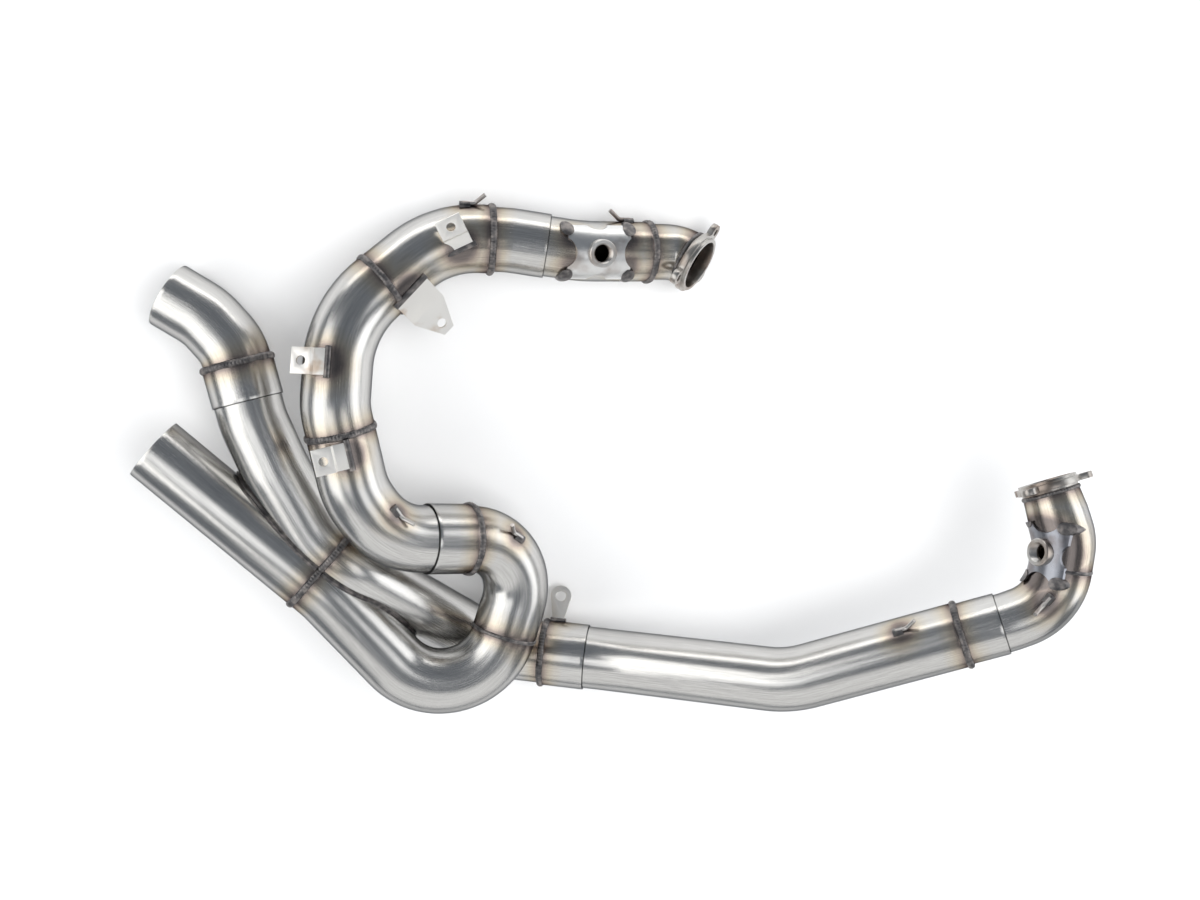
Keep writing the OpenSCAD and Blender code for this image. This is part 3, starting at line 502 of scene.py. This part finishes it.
# %% [markdown]
# # The tubes
# A tube is two carried circles, skin and bore, joined at their ends by a flat rim. The rims get a small
# bevel, because a sawn and filed edge always catches a line of light. The distances to two welds and to the
# line of a slip joint go into a second value kept in the mesh, so the finish knows how far each of them is.

# %% Make a tube
RIM_BEVEL = 0.35


def pipe(name, corners, radii, outer, welds, slip=None):
    """A tube through the corners. Up to two welds and a slip joint's line are given as distances along it,
    and negative ones count from its end."""
    bm = pipe_mesh()
    skin_start, skin_end, run = lay_pipe(bm, corners, radii, outer / 2)
    bore_start, bore_end, _ = lay_pipe(bm, corners, radii, outer / 2 - WALL)
    for skin, bore in ((skin_start, bore_start), (skin_end, bore_end)):
        bmesh.ops.bridge_loops(bm, edges=links_between(skin) + links_between(bore))
    bmesh.ops.recalc_face_normals(bm, faces=bm.faces)
    layer = bm.verts.layers.float_vector[straight_name]
    heat = bm.verts.layers.float_vector[heat_name]
    marks = welds + [-FAR] * (2 - len(welds)) + [-FAR if slip is None else slip]
    marks = [run + mark if -FAR < mark < 0 else mark for mark in marks]
    rims = links_between(skin_start) + links_between(skin_end)
    bmesh.ops.bevel(bm, geom=rims, offset=RIM_BEVEL, offset_type="OFFSET", segments=2, profile=0.5,
                    affect="EDGES", material=-1)
    for vert in bm.verts:
        vert[heat] = Vector([vert[layer].z - mark for mark in marks])
    piece = make_piece(bm, name + "_drawn", tube_finish, "tube_steel", name)
    print(name, "is", round(run), "mm long")
    return piece


END = -0.001
at_port = toward(REAR[1], REAR[2], 32.5)
at_hook_weld = toward(REAR[4], REAR[5], 71)
at_elbow_weld = toward(REAR[6], REAR[7], 22.5)
at_loop_weld = toward(REAR[9], REAR[10], 97.5)
at_rear_neck = toward(REAR[0], REAR[1], 13)
sensor_tube_way = REAR[2] - REAR[1]

# %% Rear header
pipe("rear_port_bend", [at_rear_neck, REAR[1], toward(REAR[1], REAR[2], 32.5 + LAP_DEPTH)], [29], OD_1,
     [0, -LAP_DEPTH])
sensor_tube = pipe("rear_sensor_tube", [at_port, REAR[2], toward(REAR[2], REAR[3], 31.5 + SLIP_DEPTH)], [90],
                   OD_2, [0], -SLIP_DEPTH)
pipe("rear_upper_sleeve", [toward(REAR[2], REAR[3], 31.5), REAR[3], toward(REAR[3], REAR[4], 17.5 + LAP_DEPTH)],
     [70], OD_3, [-LAP_DEPTH], 0)
pipe("rear_upper_bend", [toward(REAR[3], REAR[4], 17.5), REAR[4], at_hook_weld], [95], OD_4, [0, END])
pipe("rear_down_bend", [at_hook_weld, REAR[5], REAR[6], at_elbow_weld], [105, 60], OD_4, [0, END])
pipe("rear_lower_elbow", [at_elbow_weld, REAR[7], REAR[8], toward(REAR[8], REAR[9], 37.5 + SLIP_DEPTH)],
     [75, 68], OD_4, [0], -SLIP_DEPTH)
pipe("rear_lower_sleeve", [toward(REAR[8], REAR[9], 37.5), toward(REAR[8], REAR[9], 80)], [], OD_5, [END], 0)
pipe("loop_upper_bend", [toward(REAR[8], REAR[9], 80 - LAP_DEPTH), REAR[9], at_loop_weld], [54], OD_4,
     [LAP_DEPTH, END])

# %% Merge and outlets
loop_route = [at_loop_weld, REAR[10], REAR[11], merge_mid]
inlet_route = [toward(FRONT[0], FRONT[1], 58 + LAP_DEPTH), FRONT[0], before_merge, merge_top]
upper_route = [merge_top, after_merge, OUTLET[4], OUTLET[3], toward(OUTLET[2], OUTLET[3], 52.5 - SLIP_DEPTH)]
LOOP_RADII, INLET_RADII, UPPER_RADII = [63, 100], [60, 60], [85, 120, 90]
BORE = OD_4 - 2 * WALL
loop_tube = pipe("loop_lower_bend", loop_route, LOOP_RADII, OD_4, [0, END])
cut(loop_tube, rod(inlet_route, INLET_RADII, BORE))
lower_tube = pipe("outlet_lower", [merge_mid, REAR[12]], [], OD_4, [0])
cut(lower_tube, rod(upper_route, UPPER_RADII, BORE))
inlet_tube = pipe("front_inlet", inlet_route, INLET_RADII, OD_4, [LAP_DEPTH, END])
cut(inlet_tube, rod(loop_route, LOOP_RADII, OD_4))
upper_tube = pipe("outlet_upper_tube", upper_route, UPPER_RADII, OD_4, [0], -SLIP_DEPTH)
cut(upper_tube, rod([merge_mid, REAR[12]], [], OD_4))
pipe("outlet_sleeve", [toward(OUTLET[2], OUTLET[3], 17), toward(OUTLET[2], OUTLET[3], 52.5)], [], OD_5, [0], END)
pipe("outlet_upper_tip", [OUTLET[0], OUTLET[1], OUTLET[2], toward(OUTLET[2], OUTLET[3], 17 + LAP_DEPTH)],
     [60, 55], OD_4, [-LAP_DEPTH])

# %% Front header
at_front_weld = toward(FRONT[4], FRONT[5], 36)
pipe("front_sleeve", [toward(FRONT[0], FRONT[1], 58), toward(FRONT[0], FRONT[1], 101.5)], [], OD_5, [0], END)
pipe("front_long_tube", [toward(FRONT[0], FRONT[1], 101.5 - SLIP_DEPTH), FRONT[1], FRONT[2],
                         toward(FRONT[2], FRONT[3], 173.5)], [200, 110], OD_4, [END], SLIP_DEPTH)
pipe("front_second_sleeve", [toward(FRONT[2], FRONT[3], 173.5 - LAP_DEPTH), toward(FRONT[2], FRONT[3], 213.5)],
     [], OD_3, [LAP_DEPTH], END)
pipe("front_lower_bend", [toward(FRONT[2], FRONT[3], 213.5 - SLIP_DEPTH), FRONT[3], FRONT[4], at_front_weld],
     [90, 58], OD_2, [END], SLIP_DEPTH)


def front_port_tube():
    """The front port bend, whose last straight draws in to the size of the port."""
    bm = pipe_mesh()
    bend_angle, taken, _, _ = rounded(FRONT[4], FRONT[5], FRONT[6], 50)
    route = [at_front_weld, FRONT[5], toward(FRONT[5], FRONT[6], taken + 14)]
    way = (FRONT[6] - FRONT[5]).normalized()
    neck = FRONT[6] - way * 7
    rings = []
    for outer, small in ((OD_2, OD_1), (OD_2 - 2 * WALL, OD_1 - 2 * WALL)):
        first, last, run = lay_pipe(bm, route, [50], outer / 2)
        draw_in = (Matrix.Translation(neck) @ Matrix.Scale(small / outer, 4) @ Matrix.Translation(-route[-1]))
        run += (neck - route[-1]).length
        rings.append((first, carry(bm, last, draw_in, run)))
    for side in (0, 1):
        bmesh.ops.bridge_loops(bm, edges=links_between(rings[0][side]) + links_between(rings[1][side]))
    bmesh.ops.recalc_face_normals(bm, faces=bm.faces)
    layer = bm.verts.layers.float_vector[straight_name]
    heat = bm.verts.layers.float_vector[heat_name]
    for vert in bm.verts:
        vert[heat] = Vector((vert[layer].z, vert[layer].z - run, FAR))
    return make_piece(bm, "front_port_bend_drawn", tube_finish, "tube_steel", "front_port_bend")


port_tube = front_port_tube()
boss_bore = 16.5 / 2
cut(sensor_tube, drill(toward(REAR[1], REAR[2], REAR_BOSS_AT), side_of(sensor_tube_way, REAR_BOSS_ROLL),
                       boss_bore + 1, 60))
cut(port_tube, drill(toward(FRONT[4], FRONT[5], FRONT_BOSS_AT), side_of(FRONT[5] - FRONT[4], FRONT_BOSS_ROLL),
                     boss_bore + 1, 60))
print(len(pieces), "tubes made")

# %% [markdown]
# # Weld beads
# A hand weld is a row of overlapping puddles. Each bead here is a small round profile spun about the tube,
# and then its outer side is raised and lowered once for every puddle, with the crests swept back like scales.

# %% The bead finish
bead_finish = Finish("weld_bead")
bead_here = bead_finish.object_place()
soot = bead_finish.noise(bead_here, 160.0, 3.0)
grit = bead_finish.noise(bead_here, 900.0, 2.0)
bead_colour = bead_finish.ramp(soot, [(0.30, (0.085, 0.083, 0.086)), (0.48, (0.16, 0.153, 0.152)),
                                      (0.60, (0.25, 0.232, 0.225)), (0.74, (0.38, 0.345, 0.32))])
bead_finish.set(Base_Color=bead_colour, Metallic=1.0, Roughness=0.30 + soot * 0.25,
                Normal=bead_finish.bump(grit, 0.35, 0.0003))
print("bead finish ready")

# %% Make the ring beads
PUDDLE = 3.0
STEPS_A_PUDDLE = 5


def bead_ring(name, node, centre, way, middle, width, rise, offset=0.0, start=0.0, sweep=360.0):
    """A rippled bead round a tube. middle is the radius to its profile's centre, offset its place along way."""
    bm = bmesh.new()
    add_bead(bm, centre, way, middle, width, rise, offset, start, sweep)
    return make_piece(bm, name, bead_finish, "weld_bead", node, sharp=60)


def add_bead(bm, centre, way, middle, width, rise, offset, start, sweep):
    whole = sweep >= 360
    upright = (Matrix.Translation((middle, 0, offset)) @ Matrix.Rotation(math.pi / 2, 4, "X")
               @ Matrix.Diagonal((rise, width / 2, 1, 1)))
    profile = bmesh.ops.create_circle(bm, segments=12, radius=1, matrix=upright)["verts"]
    old = set(bm.verts) - set(profile)
    puddles = max(4, round(math.radians(sweep) * middle / PUDDLE))
    bmesh.ops.rotate(bm, cent=(0, 0, 0), matrix=Matrix.Rotation(math.radians(start), 3, "Z"), verts=profile)
    spun = bmesh.ops.spin(bm, geom=profile + links_between(profile), cent=(0, 0, 0), axis=(0, 0, 1),
                          angle=math.radians(sweep), steps=puddles * STEPS_A_PUDDLE, use_merge=whole)
    if not whole:
        ends = [item for item in spun["geom_last"] if isinstance(item, bmesh.types.BMVert)]
        for loop in (profile, ends):
            bmesh.ops.edgeloop_fill(bm, edges=links_between(loop))
    fresh = [vert for vert in bm.verts if vert not in old]
    for vert in fresh:
        angle = math.atan2(vert.co.y, vert.co.x) - math.radians(start)
        out = math.hypot(vert.co.x, vert.co.y) - middle
        across = (vert.co.z - offset) / (width / 2)
        wave = abs(math.cos(angle * 360 / sweep * puddles / 2 - abs(across) * 0.8))
        wander = 0.05 * math.sin(angle * 5 + across) + 0.04 * math.sin(angle * 13)
        if out > 0:
            vert.co.x += math.cos(angle + math.radians(start)) * out * (0.32 * wave - 0.2 + wander)
            vert.co.y += math.sin(angle + math.radians(start)) * out * (0.32 * wave - 0.2 + wander)
        vert.co.z = offset + (vert.co.z - offset) * (0.9 + 0.14 * wave + wander)
    bmesh.ops.recalc_face_normals(bm, faces=[face for face in bm.faces if face.verts[0] in set(fresh)])
    place = Matrix.Translation(centre) @ way.to_track_quat("Z", "Y").to_matrix().to_4x4()
    bmesh.ops.transform(bm, matrix=place, verts=fresh)


def lap_bead(node, joint, away, small, large):
    """The bead in the corner where a tube enters a larger one. away points from the sleeve's end outward."""
    bead_ring(node + "_rippled", node, joint, away - joint, small / 2 + 0.4, 7.0, (large - small) / 2 + 1.3, 0.9)


def butt_bead(node, joint, onward, outer, width=6.5, rise=1.9):
    bead_ring(node + "_rippled", node, joint, onward - joint, outer / 2 - 0.2, width, rise)


lap_bead("port_joint_weld", at_port, REAR[1], OD_1, OD_2)
lap_bead("upper_sleeve_weld", toward(REAR[3], REAR[4], 17.5), REAR[3], OD_3, OD_4)
lap_bead("lower_sleeve_weld", toward(REAR[8], REAR[9], 80), REAR[9], OD_4, OD_5)
lap_bead("outlet_sleeve_weld", toward(OUTLET[2], OUTLET[3], 17), OUTLET[2], OD_4, OD_5)
lap_bead("front_sleeve_weld", toward(FRONT[0], FRONT[1], 58), FRONT[0], OD_4, OD_5)
lap_bead("second_sleeve_weld", toward(FRONT[2], FRONT[3], 173.5), FRONT[3], OD_3, OD_4)
butt_bead("hook_weld", at_hook_weld, REAR[5], OD_4)
butt_bead("elbow_weld", at_elbow_weld, REAR[7], OD_4)
butt_bead("loop_weld", at_loop_weld, REAR[10], OD_4, 4.0, 1.3)
butt_bead("rear_flange_weld", at_rear_neck, REAR[1], OD_1, 4.0, 1.6)
butt_bead("front_flange_weld", toward(FRONT[6], FRONT[5], 7), FRONT[5], OD_1, 4.0, 1.6)
print("ring beads made")

# %% The merge ring
merge_bead = bmesh.new()
half_hidden = math.degrees(math.acos(MERGE_SPREAD / OD_4))
merge_turn = merge_way.to_track_quat("Z", "Y").to_matrix()
across_merge = merge_turn.transposed() @ (merge_top - merge_mid)
toward_top = math.degrees(math.atan2(across_merge.y, across_merge.x))
for centre, facing in ((merge_mid, toward_top), (merge_top, toward_top + 180)):
    add_bead(merge_bead, centre, merge_way, OD_4 / 2 - 0.2, 7.0, 2.4, 0.0, facing + half_hidden - 2,
             364 - 2 * half_hidden)
make_piece(merge_bead, "merge_ring_rippled", bead_finish, "weld_bead", "merge_ring", sharp=60)
print("merge ring hides", round(2 * half_hidden), "degrees of each tube")

# %% [markdown]
# # Plate, flanges and bosses
# Plates keep the solids' shape. A copy of each is merged into one skin, and its edges get a small round, as
# plate has after deburring. The finish is fine scratches with brown bloom from the heat of welding.

# %% Plate, turned and wire finishes
def plain_metal(name, clean, bloom, bloom_share, rough, grain):
    """A worked steel finish: a clean colour, and heat bloom over part of it."""
    finish = Finish(name)
    place = finish.object_place()
    scratches = finish.noise(finish.stretched(place, grain), 1.0, 3.0, 0.6)
    blotch = finish.noise(place, 38.0, 3.0)
    bloom_mask = finish.faded(blotch, 0.62 - bloom_share * 0.4, 0.78 - bloom_share * 0.3)
    finish.set(Base_Color=finish.blend(bloom_mask, (*clean, 1), (*bloom, 1)), Metallic=1.0,
               Roughness=rough + scratches * 0.16,
               Normal=finish.bump(scratches, 0.15, 0.00005))
    return finish


plate_finish = plain_metal("plate_steel", (0.93, 0.91, 0.87), (0.66, 0.54, 0.43), 0.10, 0.40,
                           (150, 900, 900))
saddle_finish = plain_metal("saddle_plate", (0.76, 0.76, 0.75), (0.52, 0.485, 0.46), 0.35, 0.24,
                            (300, 300, 500))
turned_finish = plain_metal("turned_steel", (0.60, 0.59, 0.57), (0.42, 0.37, 0.33), 0.45, 0.26,
                            (500, 500, 200))
wire_finish = plain_metal("hook_wire", (0.55, 0.53, 0.51), (0.30, 0.26, 0.24), 0.45, 0.22,
                          (900, 900, 900))
front_saddle_finish = plain_metal("heated_plate", (0.30, 0.31, 0.34), (0.20, 0.185, 0.19), 0.45, 0.22,
                                  (300, 300, 500))
flange_finish = plain_metal("flange_steel", (0.47, 0.455, 0.43), (0.30, 0.25, 0.215), 0.55, 0.26,
                            (500, 500, 500))
print("metal finishes ready")


# %% Rounded copies of plates
def deburred(node, finish, slot, width):
    """A merged copy of a node with its sharp edges rounded."""
    bm = bmesh.new()
    bm.from_mesh(nodes[node].data)
    bmesh.ops.scale(bm, vec=(1 / MM, 1 / MM, 1 / MM), verts=bm.verts)
    bmesh.ops.remove_doubles(bm, verts=bm.verts, dist=0.005)
    bmesh.ops.dissolve_limit(bm, angle_limit=math.radians(1.5), verts=bm.verts, edges=bm.edges)
    edges = [edge for edge in bm.edges
             if len(edge.link_faces) == 2 and edge.calc_face_angle(0) > math.radians(40)]
    bmesh.ops.bevel(bm, geom=edges, offset=width, offset_type="OFFSET", segments=2, profile=0.5,
                    affect="EDGES", clamp_overlap=True, material=-1)
    return make_piece(bm, node + "_deburred", finish, slot, node, sharp=25)


for node in ("upper_tab", "lower_tab", "turned_tab", "bracket"):
    deburred(node, plate_finish, "plate_steel", 0.3)
deburred("ring_lug", plate_finish, "plate_steel", 0.5)
for node in ("rear_flange", "front_flange"):
    deburred(node, flange_finish, "machined_steel", 0.5)


def dress(node, finish):
    """Gives a kept node its finish."""
    mesh = nodes[node].data
    if not mesh.materials:
        mesh.materials.append(finish.material)
    for slot in nodes[node].material_slots:
        slot.material = finish.material


dress("rear_sensor_saddle", saddle_finish)
dress("front_sensor_saddle", front_saddle_finish)
for node in ("rear_saddle_welds", "front_saddle_welds", "upper_tab_weld", "lower_tab_weld", "turned_tab_weld",
             "bracket_weld", "ring_lug_weld", "hook_foot_welds", "inlet_seam", "outlet_seam",
             "front_bend_weld"):
    dress(node, bead_finish)
for letter in "abcdef":
    dress("spring_hook_" + letter, wire_finish)
print("plates and fixings dressed")

# %% [markdown]
# # Threaded bosses
# A sensor boss is turned from bar, so it is one profile spun about its axis. The thread is a row of small
# grooves, which at this size look the same as a true helix and keep the profile closed.

# %% Turn the bosses
def boss_profile():
    """Points of the boss in the plane of its axis, as (radius, height from the tube's middle line)."""
    top, outer, bore, pitch, depth = OD_2 / 2 + 7.5, 13.0, boss_bore, 1.5, 0.75
    points = [(bore, 24.6), (outer, 24.6), (outer, top - 0.8), (outer - 0.8, top), (bore + 1.2, top)]
    height = top - 1.2
    while height - pitch > 26:
        points += [(bore, height), (bore + depth, height - pitch / 2)]
        height -= pitch
    return points + [(bore, height)]


def turn_boss(node, start, end, distance, roll):
    bm = bmesh.new()
    points = [bm.verts.new((radius, 0, height)) for radius, height in boss_profile()]
    edges = [bm.edges.new((first, second)) for first, second in zip(points, points[1:] + points[:1])]
    bmesh.ops.spin(bm, geom=points + edges, cent=(0, 0, 0), axis=(0, 0, 1), angle=math.tau, steps=64,
                   use_merge=True)
    bmesh.ops.recalc_face_normals(bm, faces=bm.faces)
    out = side_of(end - start, roll)
    place = Matrix.Translation(toward(start, end, distance)) @ out.to_track_quat("Z", "Y").to_matrix().to_4x4()
    bmesh.ops.transform(bm, matrix=place, verts=bm.verts)
    return make_piece(bm, node + "_threaded", turned_finish, "machined_steel", node)


turn_boss("rear_sensor_boss", REAR[1], REAR[2], REAR_BOSS_AT, REAR_BOSS_ROLL)
turn_boss("front_sensor_boss", FRONT[4], FRONT[5], FRONT_BOSS_AT, FRONT_BOSS_ROLL)
print("bosses turned")

# %% [markdown]
# # The bench
# A plain pale sheet under the header catches its soft shadow, as the white ground in a catalogue picture.
# It is staging, so it is kept out of the header's pieces.

# %% Lay the bench sheet
sheet_finish = Finish("pale_sheet")
sheet_finish.set(Base_Color=(0.93, 0.93, 0.93, 1), Roughness=0.7)
sheet_mesh = bmesh.new()
bmesh.ops.create_grid(sheet_mesh, x_segments=1, y_segments=1, size=6000)
sheet = make_piece(sheet_mesh, "bench_sheet", None, None)
sheet.data.materials.append(sheet_finish.material)
print("bench sheet laid")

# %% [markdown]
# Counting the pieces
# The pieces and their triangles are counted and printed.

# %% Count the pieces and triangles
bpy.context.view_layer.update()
triangles = sum(len(face.vertices) - 2 for piece in pieces.values() for face in piece.data.polygons)
print(len(pieces), "pieces,", triangles, "triangles")
